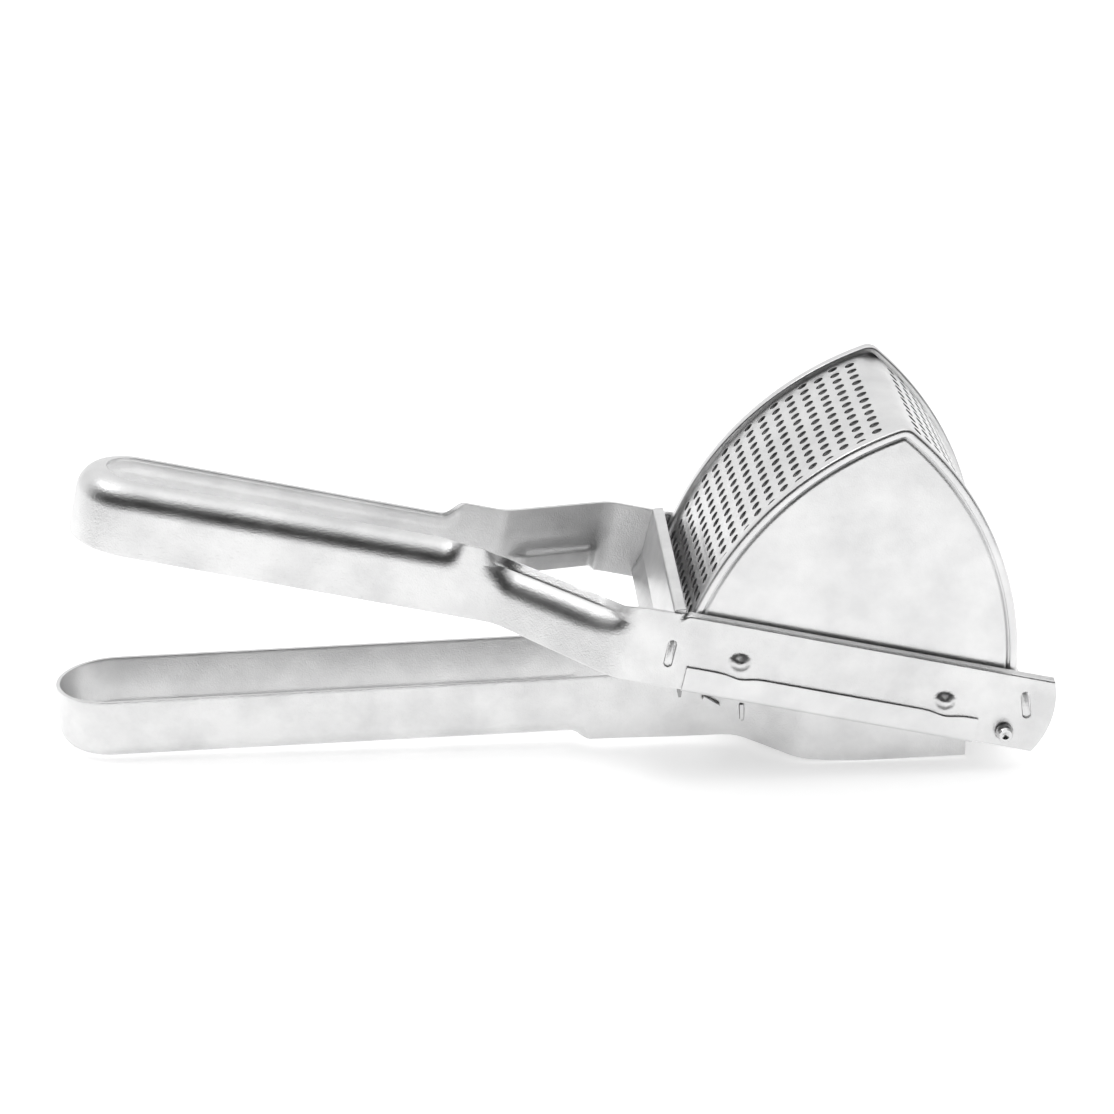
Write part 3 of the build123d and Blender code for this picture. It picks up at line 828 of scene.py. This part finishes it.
for entry in frame["record"]["subparts"]:
    node = frame["nodes"][entry["node"]]
    if node.hide_render:
        continue
    for place in node.material_slots:
        place.material = BY_SLOT[entry["material_slot"]]
for obj in bpy.context.scene.objects:
    if obj.type == "MESH" and "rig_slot" in obj:
        paint(obj, BY_SLOT[obj["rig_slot"]])


# ------------------------------------------------------------------ floor and light
FLOOR_HALF, FLOOR_CELLS, FLOOR_GAP = 12.0, 8, 0.0004
FRONT_EDGE, CEILING_EDGE = (-0.35, 0.3), (0.81, 0.97)
bm = bmesh.new()
bmesh.ops.create_grid(bm, x_segments=FLOOR_CELLS, y_segments=FLOOR_CELLS, size=FLOOR_HALF)
floor_mesh = bpy.data.meshes.new("floor")
bm.to_mesh(floor_mesh)
bm.free()
floor = bpy.data.objects.new("floor", floor_mesh)
bpy.context.scene.collection.objects.link(floor)
floor.location.z = -FLOOR_GAP
floor_mat = bpy.data.materials.new("floor_white")
floor_mat.use_nodes = True
floor_shader = floor_mat.node_tree.nodes["Principled BSDF"]
floor_shader.inputs["Base Color"].default_value = (0.92, 0.92, 0.92, 1)
floor_shader.inputs["Roughness"].default_value = 0.9
floor_shader.inputs["Specular IOR Level"].default_value = 0.1
floor_shader.inputs["Emission Color"].default_value = (1, 1, 1, 1)
floor_shader.inputs["Emission Strength"].default_value = 0.6
floor_mesh.materials.append(floor_mat)


def studio_dome(top, back, front):
    """Studio around the object: a bright ceiling, a pale back and sides, and a dark front."""
    world = bpy.data.worlds.new("studio")
    bpy.context.scene.world = world
    world.use_nodes = True
    nodes, links = world.node_tree.nodes, world.node_tree.links
    sky = nodes["Background"]
    where = nodes.new("ShaderNodeTexCoord")
    parts = nodes.new("ShaderNodeSeparateXYZ")
    links.new(where.outputs["Generated"], parts.inputs["Vector"])

    def span(value, low, high, to_low, to_high):
        m = nodes.new("ShaderNodeMapRange")
        m.interpolation_type = "SMOOTHSTEP"
        for key, v in zip(("From Min", "From Max", "To Min", "To Max"), (low, high, to_low, to_high)):
            m.inputs[key].default_value = v
        links.new(value, m.inputs["Value"])
        return m.outputs["Result"]

    def mix(factor, a, b):
        m = nodes.new("ShaderNodeMix")
        links.new(factor, m.inputs["Factor"])
        for key, v in (("A", a), ("B", b)):
            if isinstance(v, float):
                m.inputs[key].default_value = v
            else:
                links.new(v, m.inputs[key])
        return m.outputs["Result"]

    ring = mix(span(parts.outputs["Y"], *FRONT_EDGE, 0, 1), front, back)
    level = mix(span(parts.outputs["Z"], *CEILING_EDGE, 0, 1), ring, top)
    links.new(level, sky.inputs["Strength"])
    sky.inputs["Color"].default_value = (1, 1, 1, 1)


studio_dome(1.35, 0.95, 0.01)


def softbox(name, azimuth, elevation, distance, size, power):
    """Square light aimed at the middle of the object."""
    data = bpy.data.lights.new(name, "AREA")
    data.size = size
    data.energy = power
    light = bpy.data.objects.new(name, data)
    bpy.context.scene.collection.objects.link(light)
    az, el = math.radians(azimuth), math.radians(elevation)
    away = Vector((math.sin(az) * math.cos(el), -math.cos(az) * math.cos(el), math.sin(el)))
    light.location = Vector((0, 0, 0.05)) + away * distance
    light.rotation_euler = away.to_track_quat("Z", "Y").to_euler()


softbox("left_softbox", -92, 60, 2.2, 0.5, 4)


# ------------------------------------------------------------------ camera
ELEVATION = math.radians(22.0)
YAW = math.radians(2.973)
ROLL_ANGLE = math.radians(0.607346)
AIM = Vector((-0.17289, 0.0, 0.05479))
DISTANCE = 1.320
LENS, SENSOR = 106.64, 36.0

level = math.cos(ELEVATION)
forward = Vector((math.sin(YAW) * level, math.cos(YAW) * level, -math.sin(ELEVATION)))
right = Vector((math.cos(YAW), -math.sin(YAW), 0))
up = right.cross(forward)
stand = Matrix((right, up, -forward)).transposed().to_4x4()
stand.translation = AIM - forward * DISTANCE
camera_data = bpy.data.cameras.new("camera")
camera_data.lens = LENS
camera_data.sensor_width = SENSOR
camera_data.clip_end = 60
camera = bpy.data.objects.new("camera", camera_data)
bpy.context.scene.collection.objects.link(camera)
camera.matrix_world = Matrix.Translation(HINGE) @ Matrix.Rotation(ROLL_ANGLE, 4, "Y") @ stand
bpy.context.scene.camera = camera
bpy.context.scene.view_settings.view_transform = "Standard"
